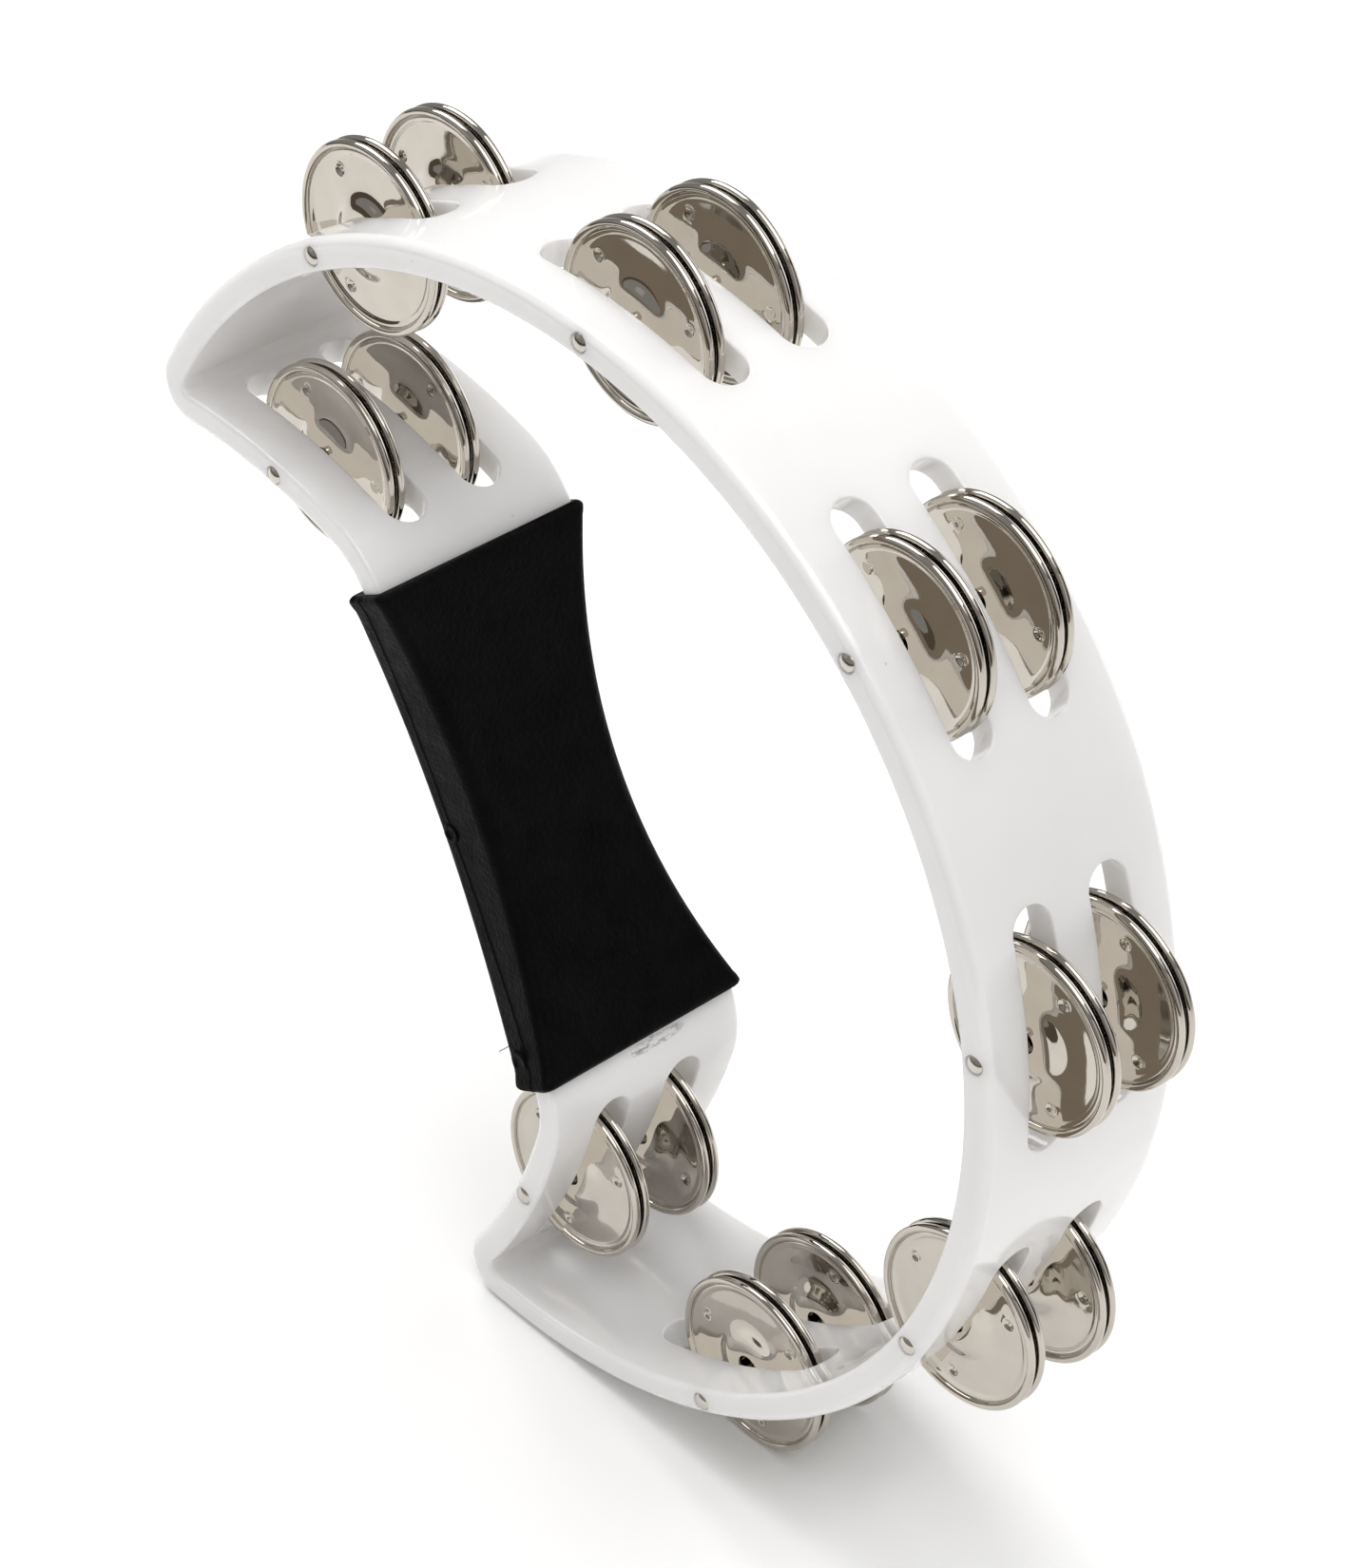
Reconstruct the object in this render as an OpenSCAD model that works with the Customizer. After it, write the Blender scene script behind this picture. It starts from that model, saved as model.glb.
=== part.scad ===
// Half-moon tambourine with two rows of jingles.
// The frame stands on the lower end of its ring and on the lowest jingles, as it does on a table.
// X runs across the crescent, Y from the near rim to the far rim, Z up from the table.

/* [Frame] */
// Radius of the ring, from its centre to the middle of the wall
ring_r = 122; // [100:1:150]
// Thickness of the moulded wall
wall = 6.5; // [5.5:0.1:8]
// Width of the band, from rim to rim
band_w = 51; // [46:1:64]
// Rounding of the rim on the outside
rim_r_out = 2.3; // [1:0.1:2.7]
// Rounding of the rim on the inside
rim_r_in = 1; // [0.4:0.1:1.2]
// Angle of each horn, measured from the apex of the crescent
tip_a = 122.4; // [118:0.1:126]
// Radius of the horn's bend, to the middle of the wall
tip_r = 5.2; // [4.2:0.1:7]
// Radius of the leg between the horn and the handle
leg_r = 134; // [110:1:170]
// Radius of the bend between leg and handle
bend_r = 19.5; // [14:0.5:24]
// Height of the bend's centre over the middle of the handle
bend_h = 52.9; // [48:0.1:58]

/* [Handle] */
// Distance from the ring's centre back to the middle of the handle
handle_x = 29.3; // [24:0.1:34]
// Radius of the handle's bow
handle_r = 207; // [170:1:300]
// Width of the core in the middle of the handle
core_w = 33.4; // [28:0.1:40]
// Length of the grip sleeve
grip_len = 107.4; // [98:0.1:110]
// Thickness of the sleeve at its ends
grip_t = 1.8; // [1.4:0.1:2.4]
// Thickness of the sleeve over the middle of the core
grip_swell = 4.6; // [2.5:0.1:6]
// Rounding of the sleeve's end edges
grip_edge = 1.2; // [0.6:0.1:1.3]
// Corner radius of the sleeve at its ends
grip_corner_end = 2; // [1.5:0.1:4]
// Corner radius of the sleeve in the middle
grip_corner_mid = 3; // [2:0.1:6.6]
// Extra thickness of the grip on the palm side, away from the ring
grip_back = 1.4; // [0:0.1:2.5]

/* [Slots] */
// Angle between neighbouring jingle places on the ring
place_step = 36.7; // [35:0.1:38]
// Distance along the leg from the bend to its jingle pin
leg_pin = 19.3; // [18:0.1:21]
// Length of each slot
slot_len = 51.2; // [50:0.1:53]
// Width of each slot
slot_w = 9.6; // [8.6:0.1:11]
// Distance between the middles of the two rows of slots
row_pitch = 19.5; // [17:0.1:22]

/* [Jingles] */
// Diameter of a jingle
jingle_d = 39.6; // [34:0.1:43]
// Diameter of the rolled edge
bead_d = 1.7; // [1.2:0.1:2]
// Thickness of the metal sheet
sheet = 0.6; // [0.4:0.05:0.8]
// Diameter of the hole for the pin
hole_d = 5; // [3.5:0.1:6]
// Diameter of the raised centre at its top
cup_d = 11; // [9:0.1:18]
// Diameter of the raised centre at its foot
cup_foot_d = 20.4; // [19:0.1:24]
// Height of the raised centre over the rolled edge's middle
cup_h = 1.3; // [0.8:0.1:1.6]
// Depth of the dish under the rolled edge's middle
dish_h = 0.35; // [0:0.05:0.5]
// Width of the sloping ring inside the rolled edge
ring_w = 1.6; // [0.8:0.1:3]
// Gap between the rolled edges of the two jingles of a pair
pair_gap = 0.9; // [0.7:0.1:1.4]

/* [Pins] */
// Diameter of a pin
pin_d = 1.8; // [1.5:0.1:2.4]
// Gap left between a pin and the edge of the hole that hangs on it
hang_gap = 0.05; // [0.02:0.01:0.2]
// Diameter of a pin's head
head_d = 3.7; // [3:0.1:4]
// Height of a pin's head
head_h = 0.9; // [0.6:0.1:1.2]
// Diameter of the flat seat under the head
seat_d = 4.2; // [4.1:0.1:4.6]
// Depth of that seat under the rim
seat_h = 0.5; // [0.3:0.1:1]
// Solid rim left beyond a pin's end
pin_stop = 3; // [2:0.5:6]

/* [Hidden] */
$fn = 64;
eps = 0.01;
lap_t = 0.05;
lap_len = 0.3;

// The crescent's centre line, in its own plane: u to the apex, v to the upper horn.
// Upper half: ring, horn, leg, bend, handle, each an arc tangent to the next.
horn_c = (ring_r - tip_r) * [cos(tip_a), sin(tip_a)];
handle_c = [handle_r - handle_x, 0];
bend_c = [handle_c[0] - sqrt(pow(handle_r + bend_r, 2) - pow(bend_h, 2)), bend_h];
leg_to_bend = leg_r - bend_r;
leg_to_horn = leg_r + tip_r;
bh = horn_c - bend_c;
bh_len = norm(bh);
bh_u = bh / bh_len;
leg_a = (pow(leg_to_bend, 2) - pow(leg_to_horn, 2) + pow(bh_len, 2)) / (2 * bh_len);
leg_b = sqrt(pow(leg_to_bend, 2) - pow(leg_a, 2));
leg_c = bend_c + leg_a * bh_u + leg_b * [-bh_u[1], bh_u[0]];
function dir(a) = [cos(a), sin(a)];
function angle_of(p) = atan2(p[1], p[0]);
leg_a0 = angle_of(bend_c - leg_c);
leg_a1 = angle_of(horn_c - leg_c);
bend_a0 = angle_of(handle_c - bend_c);
handle_a = 180 - angle_of(bend_c - handle_c);
bend_v = bend_c[1] + bend_r * sin(bend_a0);

// The eight jingle places: 1 to 6 round the ring from the upper horn, 7 and 8 on the legs.
leg_pin_a = leg_a0 + leg_pin / leg_r * 180 / PI;
function place_a(p) =
    p <= 6 ? (3.5 - p) * place_step :
    p == 7 ? leg_pin_a : -leg_pin_a;
function place_pos(p) =
    p <= 6 ? ring_r * dir(place_a(p)) :
    p == 7 ? leg_c + leg_r * dir(place_a(7)) :
    [leg_c[0] + leg_r * cos(place_a(7)), -leg_c[1] - leg_r * sin(place_a(7))];

// How it stands: on the lower end of the ring, or its horn, and on the jingles of place 6,
// which are pushed up until the pin is at the bottom of their holes.
jingle_r = jingle_d / 2;
drop = (hole_d - pin_d) / 2 - hang_gap;
prop_r = jingle_r - drop;
stand_ring = -place_a(6) + acos((ring_r + wall / 2 - prop_r) / ring_r);
low_horn = [horn_c[0], -horn_c[1]];
prop_d = place_pos(6) - low_horn;
stand_horn = -angle_of(prop_d) + acos((tip_r + wall / 2 - prop_r) / norm(prop_d));
down_a = stand_ring < tip_a ? -stand_ring : -stand_horn;
down = dir(down_a);
turn = -90 - down_a;

// A jingle hangs from its pin; the four at place 6 are pushed up by the table.
function jingle_pos(p) = place_pos(p) + (p == 6 ? -drop : drop) * down;
function turned(q) = [q[0] * cos(turn) - q[1] * sin(turn), q[0] * sin(turn) + q[1] * cos(turn)];
jingle_xs = [for (p = [1:8]) turned(jingle_pos(p))[0]];
stand_z = -min([for (p = [1:8]) turned(jingle_pos(p))[1] - jingle_r]);
tip_out = tip_r + wall / 2;
x_low = min(min(jingle_xs) - jingle_r, turned(horn_c)[0] - tip_out, turned(low_horn)[0] - tip_out);
x_high = max(max(jingle_xs) + jingle_r, ring_r + wall / 2);
stand_x = -(x_low + x_high) / 2;

// Carries the crescent from its own plane to where it stands.
module stand() {
    translate([stand_x, 0, stand_z]) rotate([90, 0, 0]) rotate([0, 0, turn]) children();
}

// Section of the band, x outward from the middle of the wall, y across the rims; e makes it larger all round.
module band_section(out, e) {
    h = band_w / 2 + e;
    w = wall / 2 + e;
    ro = rim_r_out + e;
    ri = rim_r_in + e;
    mirror([out < 0 ? 1 : 0, 0]) union() {
        translate([-w + ri, -h]) square([2 * w - ri - ro, 2 * h]);
        translate([-w, -h + ri]) square([ri + eps, 2 * (h - ri)]);
        translate([w - ro - eps, -h + ro]) square([ro + eps, 2 * (h - ro)]);
        for (s = [-1, 1]) {
            translate([w - ro, s * (h - ro)]) circle(r = ro);
            translate([-w + ri, s * (h - ri)]) circle(r = ri);
        }
    }
}

// An arc of the band. out is 1 when the outside of the crescent faces away from the arc's centre.
// Every second arc is a lap: a hair thicker and a little longer at both ends, so it joins its neighbours.
module band_arc(c, r, a0, a1, out, lap = false) {
    da = lap ? lap_len / r * 180 / PI : 0;
    translate([c[0], c[1], 0]) rotate([0, 0, a0 - da]) rotate_extrude(angle = a1 - a0 + 2 * da)
        translate([r, 0]) band_section(out, lap ? lap_t : 0);
}

// Upper half of the crescent from its leg to its horn.
module half_band() {
    band_arc(horn_c, tip_r, tip_a, leg_a1 + 180, 1, true);
    band_arc(leg_c, leg_r, leg_a0, leg_a1, -1);
    band_arc(bend_c, bend_r, bend_a0, leg_a0, -1, true);
}

// Circles that narrow the handle's core from its ends to its middle.
waist = (band_w - core_w) / 2;
waist_r = (pow(grip_len / 2, 2) + pow(waist, 2)) / (2 * waist);
module waist_cuts() {
    for (s = [-1, 1])
        translate([-handle_x - 30, 0, s * (core_w / 2 + waist_r)]) rotate([0, 90, 0])
            intersection() {
                cylinder(r = waist_r, h = 60, $fn = 180);
                translate([-waist_r, -grip_len / 2, 0]) cube([2 * waist_r, grip_len, 60]);
            }
}

// The whole band without slots and holes.
module band() {
    band_arc([0, 0], ring_r, -tip_a, tip_a, 1);
    half_band();
    mirror([0, 1, 0]) half_band();
    difference() {
        band_arc(handle_c, handle_r, 180 - handle_a, 180 + handle_a, 1);
        waist_cuts();
    }
}

// Puts children at a jingle place: x out through the wall, y along it, z across the rims.
module at_place(p) {
    q = place_pos(p);
    translate([q[0], q[1], 0]) rotate([0, 0, place_a(p)]) children();
}

module slot() {
    d = wall + 16;
    e = (slot_len - slot_w) / 2;
    translate([-d / 2, -e, -slot_w / 2]) cube([d, 2 * e, slot_w]);
    for (s = [-1, 1])
        translate([-d / 2, s * e, 0]) rotate([0, 90, 0]) cylinder(d = slot_w, h = d);
}

module pin_bore() {
    translate([0, 0, -band_w / 2 + pin_stop]) cylinder(d = pin_d, h = band_w);
    translate([0, 0, band_w / 2 - seat_h]) cylinder(d = seat_d, h = seat_h + 1);
}

// Moulded crescent frame, one piece with sixteen slots and eight pin holes.
module frame() {
    color("white") stand() difference() {
        band();
        for (p = [1:8]) at_place(p) {
            for (s = [-1, 1]) translate([0, 0, s * row_pitch / 2]) slot();
            pin_bore();
        }
    }
}

// The sleeve's outer skin: rounded sections along v, thicker and narrower in the middle.
grip_n = 7;
grip_sections = [
    [0, grip_edge], [grip_edge * 0.13, grip_edge * 0.5], [grip_edge * 0.5, grip_edge * 0.13],
    for (i = [0:10]) [grip_edge + (grip_len / 2 - grip_edge) * i / 10, 0]
];
function grip_u(v) =
    abs(v) < bend_v ? handle_c[0] - sqrt(pow(handle_r, 2) - pow(v, 2)) :
    bend_c[0] + sqrt(pow(bend_r, 2) - pow(abs(v) - bend_h, 2));
function grip_ring(v, inset) =
    let (k = 1 - pow(2 * v / grip_len, 2),
         a = wall / 2 + grip_t + (grip_swell - grip_t) * k + grip_back / 2 - inset,
         b = band_w / 2 + grip_t - waist * k - inset,
         rc = grip_corner_end + (grip_corner_mid - grip_corner_end) * k - inset)
    [for (q = [0:3], i = [0:grip_n])
        let (t = 90 * q + 90 * i / grip_n,
             su = q == 0 || q == 3 ? 1 : -1,
             sz = q < 2 ? 1 : -1)
        [grip_u(v) - grip_back / 2 + su * (a - rc) + rc * cos(t), v, sz * (b - rc) + rc * sin(t)]];
grip_vs = concat(
    [for (s = grip_sections) [-grip_len / 2 + s[0], s[1]]],
    [for (i = [len(grip_sections) - 2:-1:0]) [grip_len / 2 - grip_sections[i][0], grip_sections[i][1]]]);
module grip_skin() {
    n = 4 * (grip_n + 1);
    m = len(grip_vs);
    points = [for (s = grip_vs) each grip_ring(s[0], s[1])];
    sides = [for (j = [0:m - 2], k = [0:n - 1])
        [j * n + k, j * n + (k + 1) % n, (j + 1) * n + (k + 1) % n, (j + 1) * n + k]];
    first = [for (k = [n - 1:-1:0]) k];
    last = [for (k = [0:n - 1]) (m - 1) * n + k];
    polyhedron(points = points, faces = concat(sides, [first], [last]), convexity = 4);
}

// Soft sleeve on the handle.
module grip() {
    color([0.08, 0.08, 0.09]) stand() difference() {
        grip_skin();
        band();
    }
}

// Long pin through both slots of a place, with a domed head in the near rim.
module pin(p) {
    len = band_w - seat_h - pin_stop;
    cap_r = (pow(head_d / 2, 2) + pow(head_h, 2)) / (2 * head_h);
    color("silver") stand() at_place(p) translate([0, 0, -band_w / 2 + pin_stop]) {
        cylinder(d = pin_d, h = len);
        translate([0, 0, len]) intersection() {
            cylinder(d = head_d + 1, h = head_h + 1);
            translate([0, 0, head_h - cap_r]) sphere(r = cap_r);
        }
    }
}

// One jingle: a sheet disc with a rolled edge, a dish and a raised centre.
bead_z = (pair_gap + bead_d) / 2;
module jingle_disc() {
    line = [[hole_d / 2, cup_h], [cup_d / 2, cup_h], [cup_foot_d / 2, -dish_h],
            [jingle_r - bead_d - ring_w, -dish_h], [jingle_r - bead_d, 0], [jingle_r - bead_d / 2, 0]];
    n = len(line);
    translate([0, 0, bead_z]) {
        rotate_extrude() polygon(concat(
            [for (q = line) [q[0], q[1] + sheet / 2]],
            [for (i = [n - 1:-1:0]) [line[i][0], line[i][1] - sheet / 2]]));
        rotate_extrude() translate([jingle_r - bead_d / 2, 0]) circle(d = bead_d, $fn = 32);
    }
}

// A jingle at its place; row is 1 near and -1 far, side is 1 for the nearer jingle of the pair.
module jingle(p, row, side) {
    q = jingle_pos(p);
    color([0.78, 0.77, 0.75]) stand()
        translate([q[0], q[1], row * row_pitch / 2]) rotate([side > 0 ? 0 : 180, 0, 0]) jingle_disc();
}

frame();
grip();
pin(1);  // pin_1
pin(2);  // pin_2
pin(3);  // pin_3
pin(4);  // pin_4
pin(5);  // pin_5
pin(6);  // pin_6
pin(7);  // pin_7
pin(8);  // pin_8
jingle(1, 1, 1);  // jingle_1a
jingle(1, 1, -1);  // jingle_1b
jingle(1, -1, 1);  // jingle_1c
jingle(1, -1, -1);  // jingle_1d
jingle(2, 1, 1);  // jingle_2a
jingle(2, 1, -1);  // jingle_2b
jingle(2, -1, 1);  // jingle_2c
jingle(2, -1, -1);  // jingle_2d
jingle(3, 1, 1);  // jingle_3a
jingle(3, 1, -1);  // jingle_3b
jingle(3, -1, 1);  // jingle_3c
jingle(3, -1, -1);  // jingle_3d
jingle(4, 1, 1);  // jingle_4a
jingle(4, 1, -1);  // jingle_4b
jingle(4, -1, 1);  // jingle_4c
jingle(4, -1, -1);  // jingle_4d
jingle(5, 1, 1);  // jingle_5a
jingle(5, 1, -1);  // jingle_5b
jingle(5, -1, 1);  // jingle_5c
jingle(5, -1, -1);  // jingle_5d
jingle(6, 1, 1);  // jingle_6a
jingle(6, 1, -1);  // jingle_6b
jingle(6, -1, 1);  // jingle_6c
jingle(6, -1, -1);  // jingle_6d
jingle(7, 1, 1);  // jingle_7a
jingle(7, 1, -1);  // jingle_7b
jingle(7, -1, 1);  // jingle_7c
jingle(7, -1, -1);  // jingle_7d
jingle(8, 1, 1);  // jingle_8a
jingle(8, 1, -1);  // jingle_8b
jingle(8, -1, 1);  // jingle_8c
jingle(8, -1, -1);  // jingle_8d
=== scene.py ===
"""Looks of the tambourine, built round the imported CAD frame.

World sizes are metres; the crescent's own plane and everything local to it are millimetres.
"""

import bpy
import bmesh
import numpy as np
from math import sin, cos, radians, degrees, pi, sqrt, atan2, acos
from mathutils import Vector, Matrix
from mathutils.geometry import delaunay_2d_cdt

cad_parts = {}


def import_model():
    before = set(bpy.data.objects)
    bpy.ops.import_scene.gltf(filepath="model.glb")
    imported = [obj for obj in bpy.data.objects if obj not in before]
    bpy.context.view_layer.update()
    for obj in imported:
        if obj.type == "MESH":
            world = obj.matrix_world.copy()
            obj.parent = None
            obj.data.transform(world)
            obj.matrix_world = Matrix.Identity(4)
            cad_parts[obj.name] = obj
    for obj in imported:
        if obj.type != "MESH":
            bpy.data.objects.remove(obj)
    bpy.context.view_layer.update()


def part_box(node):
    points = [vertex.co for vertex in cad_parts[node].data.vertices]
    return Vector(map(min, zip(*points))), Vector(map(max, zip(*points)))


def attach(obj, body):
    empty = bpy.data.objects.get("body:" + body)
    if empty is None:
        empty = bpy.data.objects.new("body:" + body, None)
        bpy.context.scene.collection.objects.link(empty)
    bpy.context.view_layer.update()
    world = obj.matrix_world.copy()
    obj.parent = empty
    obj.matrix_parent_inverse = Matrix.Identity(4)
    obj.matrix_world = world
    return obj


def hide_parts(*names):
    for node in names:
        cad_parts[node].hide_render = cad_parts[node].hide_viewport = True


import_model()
rng = np.random.default_rng(11)

# ---------------------------------------------------------------- sizes, in mm, as in the CAD source
RING_R, WALL, BAND_W = 122.0, 6.5, 51.0
RIM_OUT, RIM_IN = 2.3, 1.0
TIP_A, TIP_R, LEG_R = 122.4, 5.2, 134.0
BEND_R, BEND_H, HANDLE_X, HANDLE_R = 19.5, 52.9, 29.3, 207.0
CORE_W, GRIP_LEN, GRIP_T, GRIP_SWELL = 33.4, 107.4, 1.8, 4.6
CORNER_END, CORNER_MID, GRIP_EDGE, GRIP_BACK = 2.0, 3.0, 1.2, 1.4
PLACE_STEP, LEG_PIN = 36.7, 19.3
SLOT_LEN, SLOT_W, ROW_PITCH = 51.2, 9.6, 19.5
JINGLE_D, BEAD_D, HOLE_D = 39.6, 1.7, 5.0
PAIR_GAP, PIN_D, HEAD_D, HEAD_H = 0.9, 1.8, 3.7, 0.9
SEAT_D, SEAT_H, PIN_STOP, HANG = 4.2, 0.5, 3.0, 0.05
MM = 0.001

# sizes of the looks only
SLOT_EDGE = 0.55      # rounding of the slots' edges
SEAT_EDGE = 0.14      # rounding of the pin seats' edges
RIM_SPLIT = 50        # angle where the outer rounding's two stretches meet
HOLE_START = 1.0      # how much of a pin's hole is made under its seat
REACH = 34.0          # half the stretch of band that belongs to one jingle place

W, H = WALL / 2, BAND_W / 2


def unit(a):
    return np.array([cos(radians(a)), sin(radians(a))])


def ang(p):
    return degrees(atan2(p[1], p[0]))


horn_c = (RING_R - TIP_R) * unit(TIP_A)
handle_c = np.array([HANDLE_R - HANDLE_X, 0.0])
bend_c = np.array([handle_c[0] - sqrt((HANDLE_R + BEND_R) ** 2 - BEND_H ** 2), BEND_H])
bh = horn_c - bend_c
bh_len = np.linalg.norm(bh)
leg_x = ((LEG_R - BEND_R) ** 2 - (LEG_R + TIP_R) ** 2 + bh_len ** 2) / (2 * bh_len)
leg_y = sqrt((LEG_R - BEND_R) ** 2 - leg_x ** 2)
leg_c = bend_c + leg_x * bh / bh_len + leg_y * np.array([-bh[1], bh[0]]) / bh_len
leg_a0, leg_a1 = ang(bend_c - leg_c), ang(horn_c - leg_c)
bend_a0 = ang(handle_c - bend_c)
handle_a = 180 - ang(bend_c - handle_c)
leg_pin_a = leg_a0 + degrees(LEG_PIN / LEG_R)


def place_a(p):
    return (3.5 - p) * PLACE_STEP if p <= 6 else (leg_pin_a if p == 7 else -leg_pin_a)


def place_pos(p):
    if p <= 6:
        return RING_R * unit(place_a(p))
    q = leg_c + LEG_R * unit(leg_pin_a)
    return q if p == 7 else q * [1, -1]


drop = (HOLE_D - PIN_D) / 2 - HANG
prop = JINGLE_D / 2 - drop
stand_ring = -place_a(6) + degrees(acos((RING_R + W - prop) / RING_R))
turn = radians(-90 + stand_ring)
down = unit(-stand_ring)


def turned(q):
    return np.array([q[0] * cos(turn) - q[1] * sin(turn), q[0] * sin(turn) + q[1] * cos(turn)])


def jingle_pos(p):
    return place_pos(p) + (-drop if p == 6 else drop) * down


# Where the crescent's own plane stands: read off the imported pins.
lo1, hi1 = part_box("pin_1")
pin1 = turned(place_pos(1))
stand_x = (lo1[0] + hi1[0]) / 2 / MM - pin1[0]
stand_z = (lo1[2] + hi1[2]) / 2 / MM - pin1[1]
TO_WORLD = (Matrix.Translation((stand_x * MM, 0, stand_z * MM)) @ Matrix.Rotation(pi / 2, 4, "X")
            @ Matrix.Rotation(turn, 4, "Z"))
M3 = np.array(TO_WORLD.to_3x3())
T3 = np.array(TO_WORLD.translation)


def world(points):
    """Local mm points to world metres."""
    return np.asarray(points, float) * MM @ M3.T + T3


# ---------------------------------------------------------------- the crescent's centre line
# Each arc: centre, radius, first angle, last angle, steps. The outside is on the line's right.
mirror = np.array([1, -1])
ARCS = [
    (handle_c, HANDLE_R, 180, 180 + handle_a, 22),
    (bend_c * mirror, BEND_R, -bend_a0, -leg_a0, 18),
    (leg_c * mirror, LEG_R, -leg_a0, -leg_a1, 24),
    (horn_c * mirror, TIP_R, -(leg_a1 + 180), -TIP_A, 22),
    (np.zeros(2), RING_R, -TIP_A, TIP_A, 250),
    (horn_c, TIP_R, TIP_A, leg_a1 + 180, 22),
    (leg_c, LEG_R, leg_a1, leg_a0, 24),
    (bend_c, BEND_R, leg_a0, bend_a0, 18),
    (handle_c, HANDLE_R, 180 - handle_a, 180, 22),
]
starts, s_rows = [0.0], [0.0]
for c, r, a0, a1, n in ARCS:
    length = r * radians(abs(a1 - a0))
    s_rows += [starts[-1] + length * (i + 1) / n for i in range(n)]
    starts.append(starts[-1] + length)
starts, s_rows = np.array(starts), np.array(s_rows)
TOTAL = starts[-1]
ARC_CENTRE = np.array([a[0] for a in ARCS])
ARC_R = np.array([a[1] for a in ARCS])
ARC_START = np.radians([a[2] for a in ARCS])
ARC_WAY = np.sign([a[3] - a[2] for a in ARCS])


def on_line(s, x):
    """Points at arc length s and distance x outward: positions (u, v) and outward normals."""
    s = np.atleast_1d(np.asarray(s, float)) % TOTAL
    x = np.broadcast_to(np.asarray(x, float), s.shape)
    k = np.clip(np.searchsorted(starts, s, side="right") - 1, 0, len(ARCS) - 1)
    a = ARC_START[k] + ARC_WAY[k] * (s - starts[k]) / ARC_R[k]
    d = np.stack([np.cos(a), np.sin(a)], 1)
    return ARC_CENTRE[k] + (ARC_R[k] + ARC_WAY[k] * x)[:, None] * d, ARC_WAY[k][:, None] * d


def s_of_place(p):
    """Arc length of a jingle place."""
    if p <= 6:
        return starts[4] + RING_R * radians(place_a(p) + TIP_A)
    if p == 7:
        return starts[6] + LEG_R * radians(leg_a1 - leg_pin_a)
    return starts[2] + LEG_R * radians(-leg_a0 + leg_pin_a)


WAIST = (BAND_W - CORE_W) / 2
WAIST_R = ((GRIP_LEN / 2) ** 2 + WAIST ** 2) / (2 * WAIST)


def half_width(s):
    """Half the band's width at s: full, but narrower under the grip."""
    p, _ = on_line(s, 0)
    v = np.abs(p[:, 1])
    near_handle = (np.asarray(s) % TOTAL < starts[2]) | (np.asarray(s) % TOTAL > starts[7])
    h = CORE_W / 2 + WAIST_R - np.sqrt(WAIST_R ** 2 - np.minimum(v, GRIP_LEN / 2) ** 2)
    return np.where(near_handle & (v < GRIP_LEN / 2), h, H)


class Patches:
    """Collects vertices, faces and corner normals in local mm, then makes one object."""

    def __init__(self):
        self.v, self.f, self.n, self.count = [], [], [], 0

    def add(self, verts, normals, faces):
        """Faces over verts; each one is turned so that its front agrees with the normals of its corners."""
        verts, normals = np.asarray(verts, float), np.asarray(normals, float)
        normals = normals / np.linalg.norm(normals, axis=1)[:, None]
        faces = np.asarray(faces)
        p = verts[faces]
        k = faces.shape[1]
        front = np.cross(p[:, k // 2] - p[:, 0], p[:, k - 1] - p[:, 1])
        turn_over = np.sum(front * normals[faces].sum(1), axis=1) < 0
        faces = np.where(turn_over[:, None], faces[:, ::-1], faces)
        self.f += (faces + self.count).tolist()
        self.n += list(normals[faces])
        self.v.append(verts)
        self.count += len(verts)

    def strip(self, rows, normals, closed_rows=False):
        """Quads between consecutive rows of points of the same length."""
        m, n = len(rows), len(rows[0])
        last = n if closed_rows else n - 1
        faces = [(j * n + i, j * n + (i + 1) % n, (j + 1) * n + (i + 1) % n, (j + 1) * n + i)
                 for j in range(m - 1) for i in range(last)]
        self.add(np.concatenate(rows), np.concatenate(normals), faces)

    def build(self, name, merge=0.004):
        bm = bmesh.new()
        layer = bm.loops.layers.float_vector.new("shade")
        vs = [bm.verts.new(p) for p in world(np.concatenate(self.v))]
        for f, n in zip(self.f, self.n):
            try:
                face = bm.faces.new([vs[i] for i in f])
            except ValueError:
                continue
            for loop, q in zip(face.loops, n @ M3.T):
                loop[layer] = q
            face.smooth = True
        bmesh.ops.remove_doubles(bm, verts=bm.verts, dist=merge * MM)
        bmesh.ops.dissolve_degenerate(bm, edges=bm.edges, dist=1e-7)
        loose = [v for v in bm.verts if not v.link_faces]
        bmesh.ops.delete(bm, geom=loose, context="VERTS")
        mesh = bpy.data.meshes.new(name)
        bm.to_mesh(mesh)
        bm.free()
        shade = np.zeros(len(mesh.loops) * 3, np.float32)
        mesh.attributes["shade"].data.foreach_get("vector", shade)
        mesh.normals_split_custom_set(shade.reshape(-1, 3))
        mesh.attributes.remove(mesh.attributes["shade"])
        obj = bpy.data.objects.new(name, mesh)
        bpy.context.scene.collection.objects.link(obj)
        return obj


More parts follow.
